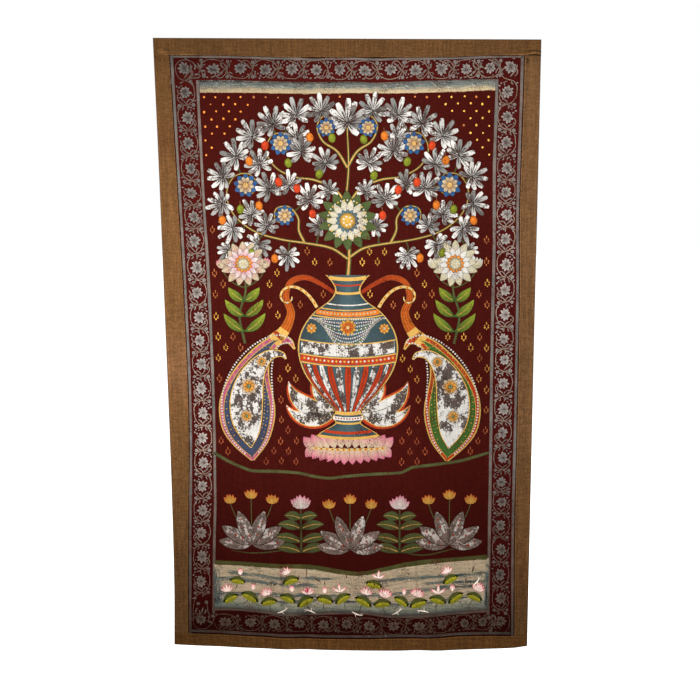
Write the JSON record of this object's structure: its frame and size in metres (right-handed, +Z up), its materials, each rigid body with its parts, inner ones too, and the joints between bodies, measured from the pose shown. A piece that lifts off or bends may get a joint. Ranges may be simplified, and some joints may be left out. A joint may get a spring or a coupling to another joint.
{
  "type": "painted cloth hanging",
  "caption": "Upright painted cotton hanging with plain brown cloth border strips, hanging flat by its top edge with soft folds near the foot.",
  "frame": {"origin": "middle of the top edge, on the front face of the cloth", "axes": "+Z up, +X to the right seen from the painted side, painted face towards -Y"},
  "size_m": [0.9202, 0.0178, 1.5427],
  "materials": {
    "painted_cotton": "matt painted cotton, maroon ground",
    "border_cotton": "matt plain-woven brown cotton"
  },
  "bodies": {
    "root": {"painted_panel": "painted_cotton", "border_top": "border_cotton", "border_bottom": "border_cotton", "border_left": "border_cotton", "border_right": "border_cotton"}
  },
  "joints": []
}
